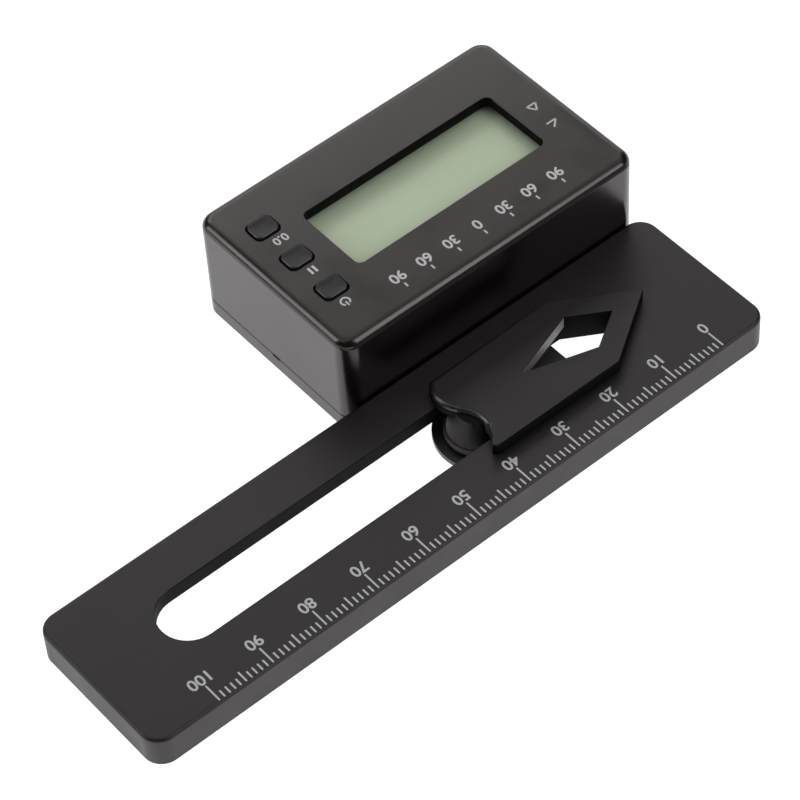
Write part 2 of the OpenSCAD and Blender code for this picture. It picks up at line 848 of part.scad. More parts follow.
// Twist-off battery cap with a coin slot and bayonet lugs
module battery_cap() {
    color(case_colour)
    translate([cell_x, case_y, 0])
        difference() {
            union() {
                translate([0, 0, cap_sink])
                    cylinder(r = cap_r, h = floor_t + cap_ring_h - cap_sink);
                for (k = [0:lug_count - 1])
                    rotate(k * 360 / lug_count)
                        translate([0, 0, lug_z])
                            ring_sector(cap_r - cap_ring_t / 2, lug_r, lug_top - lug_z, lug_angle);
            }
            translate([0, 0, floor_t])
                cylinder(r = cap_ring_r, h = cap_ring_h + over);
            translate([0, 0, cap_sink])
                cube([coin_slot_l, coin_slot_w, 2 * coin_slot_d], center = true);
        }
}

// Pan head screw that points up from its head's underside
module pan_screw(r, head_r, head_h, l) {
    translate([0, 0, -head_h])
        cylinder(r = head_r, h = head_h);
    translate([0, 0, -fit_gap])
        cylinder(r = r, h = l + fit_gap);
}

// Four screws through the tray into the shell
module case_screws() {
    color(steel_colour)
    at_case_screws()
        translate([0, 0, case_head_h + fit_gap])
            pan_screw(case_screw_r, case_head_r, case_head_h, case_screw_l);
}

// Four screws that hold the board against the shell's bosses
module board_screws() {
    color(steel_colour)
    at_board_screws()
        translate([0, 0, under_z])
            pan_screw(board_screw_r, board_head_r, board_head_h, board_screw_l);
}

// Outline of the slider's top: a point, straight sides, and a rear edge that bulges and scoops
module slider_outline() {
    half = slider_w / 2;
    prong_x = slider_l + prong_reach - prong_r;
    difference() {
        union() {
            polygon([[0, 0], [slider_point, half], [prong_x, half], [prong_x, half - prong_r],
                     [slider_l, 0], [slider_l, -half + slider_corner_r],
                     [slider_l - slider_corner_r, -half], [slider_point, -half]]);
            translate([prong_x, half - prong_r])
                circle(prong_r);
            translate([slider_l - slider_corner_r, -half + slider_corner_r])
                circle(slider_corner_r);
            intersection() {
                translate([slider_l + bulge_h - bulge_r, -bulge_off])
                    circle(bulge_r);
                translate([slider_l - bulge_r, -half])
                    square([2 * bulge_r, half]);
            }
        }
        translate([slider_l - scoop_d + scoop_r, scoop_off])
            circle(scoop_r);
    }
}

// Arrow-shaped top with its guide in the slot and two screw posts
module slider_body() {
    hole_d = slider_screw_l - backplate_t + slider_hole_end;
    color(plate_colour)
    at_slider()
        difference() {
            union() {
                translate([0, 0, slider_z])
                    linear_extrude(slider_top - slider_z)
                        slider_outline();
                slider_guide();
                for (x = post_xs)
                    translate([x, 0, backplate_top])
                        cylinder(r = post_r, h = guide_z - backplate_top + fit_gap);
            }
            translate([0, 0, slider_z - over])
                linear_extrude(slider_top - slider_z + 2 * over)
                    polygon([[window_start, 0], [window_mid, window_w / 2], [window_end, 0],
                             [window_mid, -window_w / 2]]);
            guide_pocket();
            for (x = post_xs)
                translate([x, 0, backplate_top - over])
                    cylinder(r = slider_screw_r + thread_gap, h = hole_d + over);
        }
}

// Round-ended guide that runs in the slot; its rear end shows as a sloping nose under the thumb
module slider_guide() {
    h = slider_z - guide_z + fit_gap;
    nose_top = slider_top - nose_drop;
    translate([guide_start, 0, guide_z])
        cylinder(r = guide_r, h = h);
    translate([guide_start, -guide_r, guide_z])
        cube([guide_end - guide_start, 2 * guide_r, h]);
    translate([guide_end, 0, guide_z])
        cylinder(r1 = guide_r, r2 = nose_top_r, h = nose_top - guide_z);
}

// Room under the window, wider than the window behind its widest place
module guide_pocket() {
    translate([0, 0, guide_z - over])
        linear_extrude(slider_z - guide_z + over)
            polygon([[window_start, 0], [pocket_x, pocket_half], [pocket_end, pocket_half],
                     [pocket_end, -pocket_half], [pocket_x, -pocket_half]]);
}

// Flat outline with a straight rear edge and two round front corners
module clamp_outline(start, end, half) {
    translate([start + backplate_corner_r, -half])
        square([end - start - backplate_corner_r, 2 * half]);
    translate([start, -half + backplate_corner_r])
        square([end - start, 2 * (half - backplate_corner_r)]);
    for (s = [-1, 1])
        translate([start + backplate_corner_r, s * (half - backplate_corner_r)])
            circle(backplate_corner_r);
}

// Friction pad under the web
module slider_pad() {
    color(rubber_colour)
    at_slider()
        difference() {
            translate([0, 0, pad_z])
                linear_extrude(pad_t) {
                    clamp_outline(pad_start, spring_end, clamp_r - pad_inset);
                    translate([guide_end, 0])
                        circle(pad_end_r);
                }
            for (x = post_xs)
                translate([x, 0, pad_z - over])
                    cylinder(r = post_r + pass_gap, h = pad_t + 2 * over);
        }
}

// Two wavy strips that press the pad up, one each side of the posts
module slider_springs() {
    waves = 3;
    half_wave = spring_l / (2 * waves);
    rise = spring_h - spring_t - fit_gap;
    start = spring_end - spring_l;
    y = post_r + pass_gap + spring_gap;
    low = backplate_top + fit_gap / 2;
    lower = [for (k = [0:2 * waves]) [start + k * half_wave, low + (k % 2) * rise]];
    upper = [for (k = [2 * waves:-1:0]) [start + k * half_wave, low + (k % 2) * rise + spring_t]];
    color(steel_colour)
    at_slider()
        for (s = [-1, 1])
            translate([0, s * (y + spring_w / 2) + spring_w / 2, 0])
                rotate([90, 0, 0])
                    linear_extrude(spring_w)
                        polygon(concat(lower, upper));
}

// Plate that holds the pad and the springs up against the web
module slider_backplate() {
    color(plate_colour)
    at_slider()
        difference() {
            translate([0, 0, backplate_z])
                linear_extrude(backplate_t) {
                    clamp_outline(pad_start - pad_inset, clamp_end, clamp_r);
                    translate([clamp_end, 0])
                        circle(clamp_r);
                }
            for (x = post_xs)
                translate([x, 0, backplate_z]) {
                    translate([0, 0, -over])
                        cylinder(r = slider_screw_r + pass_gap, h = backplate_t + 2 * over);
                    countersunk_head(pass_gap);
                }
        }
}

// Cone of a countersunk head, with a gap round it
module countersunk_head(gap) {
    cylinder(r1 = slider_head_r + gap, r2 = slider_screw_r + gap, h = slider_head_h);
}

// Two countersunk screws from below into the posts
module slider_screws() {
    color(steel_colour)
    at_slider()
        for (x = post_xs)
            translate([x, 0, backplate_z + fit_gap]) {
                countersunk_head(0);
                cylinder(r = slider_screw_r, h = slider_screw_l);
            }
}

base_plate();
front_shell();
lcd_window();
lcd_panel();
lcd_frame();
zebra_strips();
circuit_board();
controller_chip();
tilt_sensor();
crystal();
capacitors();
tact_switches();
plunger_zero();
plunger_hold();
plunger_power();
button_zero();
button_hold();
button_power();
coin_cell();
negative_contact();
positive_contact();
battery_cap();
case_screws();
board_screws();
slider_body();
slider_pad();
slider_springs();
slider_backplate();
slider_screws();
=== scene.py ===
"""Digital pitch gauge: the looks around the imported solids.

Sizes are in millimetres, times MM. X runs along the scale from 0 to 100, +Y points to the scale's edge
and +Z is up.
"""

import json
import math

import bmesh
import bpy
from mathutils import Matrix, Vector


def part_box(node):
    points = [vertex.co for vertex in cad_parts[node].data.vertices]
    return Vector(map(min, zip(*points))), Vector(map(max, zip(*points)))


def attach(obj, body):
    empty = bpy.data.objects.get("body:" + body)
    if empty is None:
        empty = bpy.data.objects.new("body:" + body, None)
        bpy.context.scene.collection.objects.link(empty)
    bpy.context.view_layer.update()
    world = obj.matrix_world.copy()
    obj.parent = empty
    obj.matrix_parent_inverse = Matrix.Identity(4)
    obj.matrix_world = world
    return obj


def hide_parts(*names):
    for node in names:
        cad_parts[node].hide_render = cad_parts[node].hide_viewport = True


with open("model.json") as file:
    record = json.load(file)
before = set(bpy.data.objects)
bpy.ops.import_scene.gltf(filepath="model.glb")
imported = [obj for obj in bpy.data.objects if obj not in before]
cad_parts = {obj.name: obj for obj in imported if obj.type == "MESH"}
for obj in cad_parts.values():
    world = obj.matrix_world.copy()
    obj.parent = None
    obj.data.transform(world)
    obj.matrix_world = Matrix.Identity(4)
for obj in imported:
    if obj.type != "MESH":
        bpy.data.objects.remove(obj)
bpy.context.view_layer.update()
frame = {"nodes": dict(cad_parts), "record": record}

MM = 0.001
scene = bpy.context.scene

# What lies this near to a plane counts as on it
TOUCH = 0.01 * MM

# Places that the frame gives
PLATE_LO, PLATE_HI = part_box("base_plate")
SHELL_LO, SHELL_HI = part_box("front_shell")
SLIDER_LO, SLIDER_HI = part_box("slider_body")
LENS_LO, LENS_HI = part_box("lcd_window")
PLATE_TOP = PLATE_HI.z
SHELL_TOP = SHELL_HI.z
SLOT_Y = (SLIDER_LO.y + SLIDER_HI.y) / 2

# Sizes on the plate and the shell, mostly of parts that have a finish or an edge of their own
SLOT_HALF_WIDTH = 5.4 * MM
SLOT_REACH = 50 * MM
TRAY_OVERLAP = 4 * MM
LOW_EDGE_BAND = 3 * MM
LENS_BAND = 0.1 * MM
SHELL_ROOF_T = 2 * MM

# Parts of the slider that have a finish or an edge of their own
REAR_X = SLIDER_LO.x + 33 * MM
REAR_BAND = 1.0 * MM
THUMB_X = SLIDER_LO.x + 34 * MM
THUMB_END_Y = SLOT_Y + 4.5 * MM
WINDOW_START_X = SLIDER_LO.x + 6.4 * MM
WINDOW_END_X = SLIDER_LO.x + 24 * MM
WINDOW_HALF_WIDTH = 4.6 * MM

# Edge radii of the moulded pieces
EDGE_R = 0.15 * MM
LARGEST_R = 0.25 * MM
SEAM_R = 0.25 * MM
THUMB_R = 0.8 * MM
FINE_EDGE_R = 0.06 * MM
SHARP_ANGLE = math.radians(33)
FLAT_ANGLE = math.radians(0.5)

# Places of a skin's finishes in its list
PLAIN, SHADED, PAINTED_LIGHT, CASED, THUMB, SOFT = range(6)

# Ink, and the height of a numeral of the built-in font for each unit of its size
INK_T = 0.02 * MM
INK_SINK = 0.01 * MM
FONT_HEIGHT = 0.73

# Print on the plate
ZERO_X = PLATE_LO.x + 9.6 * MM
TICK_Y = PLATE_HI.y - 0.45 * MM
TICK_W = 0.29 * MM
TICK_LENGTHS = {10: 3.3 * MM, 5: 2.05 * MM, 1: 1.35 * MM}
SCALE_LENGTH = 100
DIGIT_H = 2.05 * MM
DIGIT_BACK = 4.7 * MM
DIGIT_WEIGHT = 0.05 * MM

# Print on the housing
STROKE = 0.3 * MM
ROW_X = ZERO_X + 19.8 * MM
ROW_Y = SHELL_HI.y - 6.1 * MM
ROW_STEP = 5.4 * MM
ROW_DIGIT_H = 2.0 * MM
ROW_DIGIT_WEIGHT = 0.06 * MM
ROW_TICK_START = 1.7 * MM
ROW_TICK_END = 2.6 * MM
SIGN_BACK = 3.6 * MM
SIGN_SHIFTS = {"zero": -0.6 * MM, "hold": -0.2 * MM, "power": 0.2 * MM}
ZERO_SIGN_H = 1.6 * MM
HOLD_BAR_L = 1.5 * MM
HOLD_BAR_W = 0.42 * MM
POWER_SIGN_R = 0.75 * MM
POWER_BAR_START = 0.05 * MM
POWER_BAR_END = 1.0 * MM
FAR_SIGNS_X = ZERO_X - 3.65 * MM
FAR_SIGN_HALF = 0.9 * MM
ANGLE_SIGN_Y = SHELL_HI.y - 14.9 * MM
ANGLE_SIGN_FLAT = 1.9 * MM
ANGLE_SIGN_RISE = (1.4 * MM, 1.3 * MM)
TRIANGLE_Y = SHELL_HI.y - 19.8 * MM
TRIANGLE_H = 1.5 * MM

# Keys
KEYS = ("zero", "hold", "power")
KEY_FLANGE = 0.6 * MM
KEY_FLANGE_T = 0.8 * MM
KEY_FLANGE_GAP = 0.1 * MM
KEY_FLANGE_TOP = SHELL_TOP - SHELL_ROOF_T - KEY_FLANGE_GAP
KEY_CORNER_R = 0.9 * MM
KEY_CORNER_LEAST_R = 0.1 * MM
KEY_EDGE_R = 0.28 * MM
KEY_EDGE_STEPS = 4
KEY_DISH = 0.16 * MM
KEY_DISH_RINGS = (0.45 * MM, 0.75 * MM, 1.05 * MM, 1.3 * MM)
KEY_DISH_MIDDLE = 1.45 * MM
KEY_DISH_REACH = 1.2 * MM
KEY_STEM_R = 1.1 * MM
KEY_STEM_SINK = 0.05 * MM

# Screws: values without MM are shares of the head's radius, or for root and point of the shank's
CROWN = ((0.82, 0), (0.95, 0.05 * MM), (1, 0.14 * MM))
THREAD_START = 0.15 * MM
THREAD_END = 0.5 * MM
THREAD_PITCH = 0.4 * MM
THREAD_ROOT = 0.86
POINT_L = 0.3 * MM
POINT_SHARE = 0.55
RECESS_DEPTH = 0.45 * MM
RECESS_REACH = 1.15
RECESS_WIDTH = 0.3

# Floor
FLOOR_HALF = 3.0

# Camera of the photograph, fitted to the scale's ticks
CAMERA_PLACE = Vector((194.22, 272.41, 404.09)) * MM
CAMERA_AZIMUTH = math.radians(142.81)
CAMERA_ELEVATION = math.radians(50.113)
CAMERA_ROLL = math.radians(-3.978)
CAMERA_LENS = 151.25
SENSOR_WIDTH = 36


class Finish:
    """A procedural material: Principled shader with colour, roughness and bump from noise in object space."""

    def __init__(self, name, **sockets):
        self.material = bpy.data.materials.new(name)
        self.material.use_nodes = True
        self.tree = self.material.node_tree
        self.shader = self.tree.nodes["Principled BSDF"]
        self.place = self.tree.nodes.new("ShaderNodeTexCoord").outputs["Object"]
        for socket, value in sockets.items():
            self.shader.inputs[socket.replace("_", " ")].default_value = value

    def node(self, kind, **values):
        made = self.tree.nodes.new(kind)
        for name, value in values.items():
            setattr(made, name, value)
        return made

    def join(self, output, target):
        self.tree.links.new(output, target)

    def noise(self, grain, detail=2, roughness=0.5, stretch=(1, 1, 1)):
        """Noise whose grain is that size in metres, longer where stretch is below 1."""
        mapping = self.node("ShaderNodeMapping")
        mapping.inputs["Scale"].default_value = stretch
        self.join(self.place, mapping.inputs["Vector"])
        noise = self.node("ShaderNodeTexNoise")
        noise.inputs["Scale"].default_value = 1 / grain
        noise.inputs["Detail"].default_value = detail
        noise.inputs["Roughness"].default_value = roughness
        self.join(mapping.outputs["Vector"], noise.inputs["Vector"])
        return noise.outputs["Fac"]

    def spread(self, value, low, high):
        """The middle of a noise spread over low to high."""
        spread = self.node("ShaderNodeMapRange")
        spread.inputs["From Min"].default_value = 0.3
        spread.inputs["From Max"].default_value = 0.7
        spread.inputs["To Min"].default_value = low
        spread.inputs["To Max"].default_value = high
        self.join(value, spread.inputs["Value"])
        return spread.outputs["Result"]

    def sum(self, a, b, share):
        """a plus share times b."""
        add = self.node("ShaderNodeMath", operation="MULTIPLY_ADD")
        add.inputs[1].default_value = share
        self.join(b, add.inputs[0])
        self.join(a, add.inputs[2])
        return add.outputs["Value"]

    def colours(self, value, dark, light):
        mix = self.node("ShaderNodeMix", data_type="RGBA")
        mix.inputs[6].default_value = (*dark, 1)
        mix.inputs[7].default_value = (*light, 1)
        self.join(value, mix.inputs[0])
        self.join(mix.outputs[2], self.shader.inputs["Base Color"])

    def roughness(self, value, low, high):
        self.join(self.spread(value, low, high), self.shader.inputs["Roughness"])

    def bump(self, value, distance):
        bump = self.node("ShaderNodeBump")
        bump.inputs["Strength"].default_value = 1.0
        bump.inputs["Distance"].default_value = distance
        self.join(value, bump.inputs["Height"])
        self.join(bump.outputs["Normal"], self.shader.inputs["Normal"])


def moulded(name, colour, rough, gloss=0.5, tint=(1, 1, 1), grain=0.22 * MM, depth=0.006 * MM, vary=0.12):
    """Dark moulded plastic: spark-eroded grain, cloudy gloss and slight flow marks."""
    finish = Finish(name, IOR=1.5, Specular_IOR_Level=gloss, Specular_Tint=(*tint, 1))
    cloud = finish.noise(9 * MM, detail=3)
    flow = finish.noise(30 * MM, detail=1, stretch=(0.35, 1, 1))
    fine = finish.noise(grain, detail=2)
    mixed = finish.spread(finish.sum(cloud, flow, 0.6), -0.4, 0.9)
    finish.colours(mixed, [c * (1 - vary) for c in colour], [c * (1 + vary) for c in colour])
    finish.roughness(finish.sum(cloud, fine, 0.25), rough - 0.05, rough + 0.05)
    finish.bump(fine, depth)
    return finish.material


def metal(name, colour, rough, grain, stretch):
    """Plated or rolled metal with fine brushed lines and faint tarnish."""
    finish = Finish(name, Metallic=1.0)
    lines = finish.noise(grain, detail=3, stretch=stretch)
    stain = finish.noise(2.5 * MM, detail=3)
    finish.colours(finish.spread(stain, 0, 1), [c * 0.82 for c in colour], colour)
    finish.roughness(lines, rough - 0.08, rough + 0.08)
    finish.bump(lines, 0.002 * MM)
    return finish.material


def clear_plastic():
    """Clear lens: almost all light passes, with a soft gloss."""
    finish = Finish("clear_plastic", Alpha=0.07, IOR=1.49)
    haze = finish.noise(6 * MM, detail=2)
    finish.colours(finish.spread(haze, 0, 1), (0.80, 0.84, 0.81), (0.86, 0.89, 0.86))
    finish.roughness(haze, 0.03, 0.07)
    finish.bump(finish.noise(12 * MM, detail=1), 0.004 * MM)
    return finish.material


def display_glass():
    """Blank reflective display: grey-green, with the faint cell grain of a polariser."""
    finish = Finish("display", IOR=1.45)
    cloud = finish.noise(14 * MM, detail=2)
    fine = finish.noise(0.12 * MM, detail=2)
    mixed = finish.spread(finish.sum(cloud, fine, 0.35), 0, 1)
    finish.colours(mixed, (0.513, 0.606, 0.413), (0.560, 0.657, 0.446))
    finish.roughness(fine, 0.42, 0.55)
    finish.bump(fine, 0.0015 * MM)
    return finish.material


def ink(name, colour):
    """Screen print: slightly uneven cover."""
    finish = Finish(name, IOR=1.45)
    cover = finish.noise(0.18 * MM, detail=3, roughness=0.65)
    finish.colours(finish.spread(cover, 0, 1), [c * 0.8 for c in colour], colour)
    finish.roughness(cover, 0.5, 0.7)
    finish.bump(cover, 0.004 * MM)
    return finish.material


def rubber():
    finish = Finish("rubber", IOR=1.5)
    fine = finish.noise(0.1 * MM, detail=3, roughness=0.6)
    finish.colours(finish.spread(finish.noise(2 * MM), 0, 1), (0.012, 0.012, 0.012), (0.024, 0.023, 0.022))
    finish.roughness(fine, 0.72, 0.9)
    finish.bump(fine, 0.01 * MM)
    return finish.material


def circuit_laminate():
    """Lacquered laminate with the copper traces showing through as lighter lines."""
    finish = Finish("board", IOR=1.5, Coat_Weight=0.3)
    weave = finish.noise(0.5 * MM, detail=2, stretch=(1, 0.3, 1))
    brick = finish.node("ShaderNodeTexBrick")
    brick.inputs["Scale"].default_value = 1 / (6 * MM)
    brick.inputs["Mortar Size"].default_value = 0.05
    brick.inputs["Color1"].default_value = (0.018, 0.11, 0.045, 1)
    brick.inputs["Color2"].default_value = (0.022, 0.13, 0.055, 1)
    brick.inputs["Mortar"].default_value = (0.06, 0.24, 0.10, 1)
    finish.join(finish.place, brick.inputs["Vector"])
    finish.join(brick.outputs["Color"], finish.shader.inputs["Base Color"])
    finish.roughness(weave, 0.3, 0.42)
    finish.bump(weave, 0.006 * MM)
    return finish.material


def resin():
    finish = Finish("resin", IOR=1.55)
    cloud = finish.noise(1.2 * MM, detail=3)
    finish.colours(finish.spread(cloud, 0, 1), (0.008, 0.008, 0.008), (0.018, 0.017, 0.016))
    finish.roughness(cloud, 0.16, 0.3)
    finish.bump(cloud, 0.02 * MM)
    return finish.material


def ceramic():
    finish = Finish("capacitor", IOR=1.6)
    speck = finish.noise(0.15 * MM, detail=3, roughness=0.6)
    finish.colours(finish.spread(speck, 0, 1), (0.33, 0.22, 0.13), (0.52, 0.38, 0.24))
    finish.roughness(speck, 0.35, 0.5)
    finish.bump(speck, 0.005 * MM)
    return finish.material


def floor_finish():
    """Pale light table: white, and bright enough that it throws almost no shadow."""
    finish = Finish("floor", Emission_Color=(1, 1, 1, 1), Emission_Strength=1.0)
    cloud = finish.noise(0.4, detail=1)
    finish.colours(finish.spread(cloud, 0, 1), (0.44, 0.44, 0.44), (0.46, 0.46, 0.46))
    finish.roughness(cloud, 0.85, 0.95)
    return finish.material


PLATE_COLOUR = (0.0070, 0.0056, 0.0060)
PLATE_TINT = (1.0, 0.93, 0.95)
CASE_COLOUR = (0.0032, 0.0020, 0.0020)
CASE_TINT = (1.0, 0.91, 0.91)
FINISHES = {
    "plate_plastic": moulded("plate_plastic", PLATE_COLOUR, 0.40, gloss=0.48, tint=PLATE_TINT),
    "case_plastic": moulded("case_plastic", CASE_COLOUR, 0.21, gloss=0.66, tint=CASE_TINT),
    "slider_plastic": moulded("slider_plastic", PLATE_COLOUR, 0.44, gloss=0.46, tint=PLATE_TINT),
    "button_plastic": moulded("button_plastic", (0.0090, 0.0080, 0.0082), 0.50, gloss=0.45),
    "clear_plastic": clear_plastic(),
    "display": display_glass(),
    "board": circuit_laminate(),
    "resin": resin(),
    "capacitor": ceramic(),
    "steel": metal("steel", (0.60, 0.60, 0.62), 0.30, 0.12 * MM, (1, 0.15, 1)),
    "contact_metal": metal("contact_metal", (0.78, 0.62, 0.30), 0.26, 0.10 * MM, (0.15, 1, 1)),
    "rubber": rubber(),
}
SCALE_INK = ink("scale_ink", (0.60, 0.60, 0.63))
CASE_INK = ink("case_ink", (0.66, 0.66, 0.66))
# Painted shade: a dull, almost matte copy of the dark plastic, put on walls in the slot, in the display
# opening and round the slider so that they look as dark as the shade that falls there.
SHADE = moulded("painted_shade_wall", (0.0060, 0.0054, 0.0056), 0.62, gloss=0.08)
# Painted highlight: a much lighter copy of the dark plastic, so that one wall of the slider's window looks
# lit.
PAINTED_LIGHT_WALL = moulded("painted_light_wall", (0.200, 0.184, 0.184), 0.40, gloss=1.0)
CLAMP = moulded("clamp_plastic", (0.0120, 0.0108, 0.0110), 0.34, gloss=0.7)
PAD = moulded("pad_face", (0.040, 0.037, 0.036), 0.40, gloss=0.6)
# A glossier finish for the thumb edge and the key edges; its slightly lighter colour is painted sheen that
# brightens their highlight.
PAINTED_SHEEN_EDGE = moulded("painted_sheen_edge", (0.0100, 0.0088, 0.0090), 0.30, gloss=0.8)
LOW_EDGE = moulded("low_edge", CASE_COLOUR, 0.40, gloss=0.20, tint=CASE_TINT)
OTHER_FINISHES = (SHADE, PAINTED_LIGHT_WALL, FINISHES["case_plastic"], PAINTED_SHEEN_EDGE, LOW_EDGE)


def piece(name, mesh, body, material, slot, *nodes):
    """A new object on a body, with its finish, that stands for these nodes."""
    made = bpy.data.objects.new(name, mesh)
    scene.collection.objects.link(made)
    mesh.materials.clear()
    mesh.materials.append(material)
    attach(made, body)
    if nodes:
        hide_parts(*nodes)
    return made


def smooth(mesh):
    mesh.polygons.foreach_set("use_smooth", [True] * len(mesh.polygons))
    mesh.set_sharp_from_angle(angle=SHARP_ANGLE)


def soften(made):
    """Rounds the weighted edges and keeps the flat faces flat."""
    bevel = made.modifiers.new("edges", "BEVEL")
    bevel.width = LARGEST_R
    bevel.segments = 3
    bevel.limit_method = "WEIGHT"
    bevel.use_clamp_overlap = False
    made.modifiers.new("flats", "WEIGHTED_NORMAL").keep_sharp = True


def weigh_edges(work, edge_radius):
    """Bevel weights of the sharp edges, so that each gets its own radius."""
    weight = work.edges.layers.float.new("bevel_weight_edge")
    for edge in work.edges:
        if len(edge.link_faces) == 2 and edge.calc_face_angle() > SHARP_ANGLE:
            middle = (edge.verts[0].co + edge.verts[1].co) / 2
            edge[weight] = edge_radius(middle) / LARGEST_R


def even_edge(place):
    return EDGE_R


def on_seam(place):
    """Whether an edge runs along the parting line between shell and tray."""
    return abs(place.z - SHELL_LO.z) < TOUCH


def plate_edge(place):
    """The parting line is softened most, and the tray's underside stays crisp."""
    if place.z < TOUCH and place.y < SHELL_HI.y + TRAY_OVERLAP:
        return 0
    return SEAM_R if on_seam(place) else EDGE_R


def fine_edge(place):
    return FINE_EDGE_R


def shell_edge(place):
    """The parting line and the rim of the top's openings are softened, and what is inside stays crisp."""
    if on_seam(place):
        return SEAM_R
    return EDGE_R if place.z > SHELL_TOP - TOUCH else FINE_EDGE_R


def slider_edge(place):
    """The thumb edge at the rear is well rounded, the other top edges a little."""
    thumb = place.x > THUMB_X and place.y < THUMB_END_Y
    return THUMB_R if thumb else EDGE_R


class Rim:
    """Rounded rim round a flat top, with a radius that differs from place to place."""

    STEPS = 4
    REACH = 0.4 * MM
    ON_TOP = 0.0001 * MM

    def __init__(self, top, edge_radius):
        self.top = top
        self.edge_radius = edge_radius

    def outlines(self, work):
        """Boundary loops of the opened top, as lists of vertices."""
        left = [edge for edge in work.edges if edge.is_boundary]
        loops = []
        while left:
            edge = left.pop(0)
            loop = [edge.verts[0], edge.verts[1]]
            while loop[-1] is not loop[0]:
                edge = next(e for e in loop[-1].link_edges if e in left)
                left.remove(edge)
                loop.append(edge.other_vert(loop[-1]))
            loops.append(loop[:-1])
        return loops

    def inward(self, loop, outer):
        """Directions into the material, from the outline's run a little before and after each vertex."""
        places = [vert.co.copy() for vert in loop]
        area = sum(a.x * b.y - b.x * a.y for a, b in zip(places, places[1:] + places[:1]))
        side = 1 if (area > 0) == outer else -1

        def walk(k, step):
            reach = self.REACH
            here = places[k]
            while True:
                k = (k + step) % len(places)
                length = (places[k] - here).length
                if length >= reach:
                    return here + (places[k] - here) * reach / length
                reach -= length
                here = places[k]

        turns = []
        for k in range(len(places)):
            run = walk(k, 1) - walk(k, -1)
            turns.append(Vector((-run.y, run.x, 0)).normalized() * side)
        return turns

    def shape(self, work):
        """Replaces the flat top: lower walls, rounded rim, new flat top."""
        level = [face for face in work.faces if face.normal.z > 0.99]
        lids = [face for face in level if face.calc_center_median().z > self.top - TOUCH]
        bmesh.ops.delete(work, geom=lids, context="FACES")
        loops = self.outlines(work)
        widest = max(loops, key=lambda loop: max(v.co.x for v in loop) - min(v.co.x for v in loop))
        crest = []
        for loop in loops:
            turns = self.inward(loop, loop is widest)
            places = [vert.co.copy() for vert in loop]
            radii = [self.edge_radius(place) for place in places]
            for vert, radius in zip(loop, radii):
                vert.co.z = self.top - radius
            below = loop
            for step in range(1, self.STEPS + 1):
                angle = step / self.STEPS * math.pi / 2
                ring = []
                for place, turn, radius in zip(places, turns, radii):
                    lift = Vector((0, 0, radius * (math.sin(angle) - 1)))
                    ring.append(work.verts.new(place + turn * radius * (1 - math.cos(angle)) + lift))
                for k in range(len(loop)):
                    n = (k + 1) % len(loop)
                    work.faces.new((below[k], below[n], ring[n], ring[k]))
                below = ring
            crest += [work.edges.get((below[k - 1], below[k])) for k in range(len(below))]
        bmesh.ops.triangle_fill(work, use_beauty=True, use_dissolve=False, edges=crest, normal=(0, 0, 1))
        bmesh.ops.recalc_face_normals(work, faces=work.faces)

    def sharpen(self, mesh):
        """Keeps the new flat top flat, by sharp edges all round it."""
        for edge in mesh.edges:
            if min(mesh.vertices[k].co.z for k in edge.vertices) > self.top - self.ON_TOP:
                edge.use_edge_sharp = True


def merge_flats(work):
    """Joins the triangles of flat faces, except on undersides, which keep the solid's own."""
    bmesh.ops.remove_doubles(work, verts=work.verts, dist=TOUCH)
    under = {vert for face in work.faces if face.normal.z < -0.9 for vert in face.verts}
    free = [vert for vert in work.verts if vert not in under]
    edges = [edge for edge in work.edges if any(face.normal.z >= -0.9 for face in edge.link_faces)]
    bmesh.ops.dissolve_limit(work, angle_limit=FLAT_ANGLE, verts=free, edges=edges)
    bmesh.ops.recalc_face_normals(work, faces=work.faces)


def paint_faces(mesh, pick):
    """Adds the other finishes, and gives each face the one that pick names."""
    for other in OTHER_FINISHES:
        mesh.materials.append(other)
    for face in mesh.polygons:
        face.material_index = pick(face.center, face.normal)


def skin(node, name, body, slot, edge_radius, pick=None, finish=None, rim_top=None):
    """A softened copy of a node's solid, which stands for the node.

    pick gives some faces another finish, and rim_top is the height of a flat top that gets a rounded rim.
    """
    mesh = frame["nodes"][node].data.copy()
    mesh.name = name
    rim = Rim(rim_top, edge_radius) if rim_top else None
    work = bmesh.new()
    work.from_mesh(mesh)
    merge_flats(work)
    if rim:
        rim.shape(work)
    else:
        weigh_edges(work, edge_radius)
    work.to_mesh(mesh)
    work.free()
    if "custom_normal" in mesh.attributes:
        mesh.attributes.remove(mesh.attributes["custom_normal"])
    smooth(mesh)
    made = piece(name, mesh, body, finish or FINISHES[slot], slot, node)
    if pick:
        paint_faces(mesh, pick)
    if rim:
        rim.sharpen(mesh)
    else:
        soften(made)


def plate_wall(place, normal):
    """Upright faces of the slot get painted shade, a dull dark finish; the tray looks like the housing."""
    if place.y < SHELL_HI.y - TOUCH:
        return CASED
    upright = abs(normal.z) < 0.1
    in_slot = abs(place.y - SLOT_Y) < SLOT_HALF_WIDTH and abs(place.x) < SLOT_REACH
    return SHADED if upright and in_slot else PLAIN


def display_wall(place, normal):
    """Upright faces of the display opening get painted shade, a dull dark finish; the foot of the top edge by
    the scale is less glossy.
    """
    if 0.84 < normal.y < 0.99 and normal.z > 0.1 and place.y > SHELL_HI.y - LOW_EDGE_BAND:
        return SOFT
    upright = abs(normal.z) < 0.1
    inside = LENS_LO.x < place.x < LENS_HI.x and LENS_LO.y < place.y < LENS_HI.y
    above_lens = place.z > LENS_HI.z - LENS_BAND
    return SHADED if upright and inside and above_lens else PLAIN


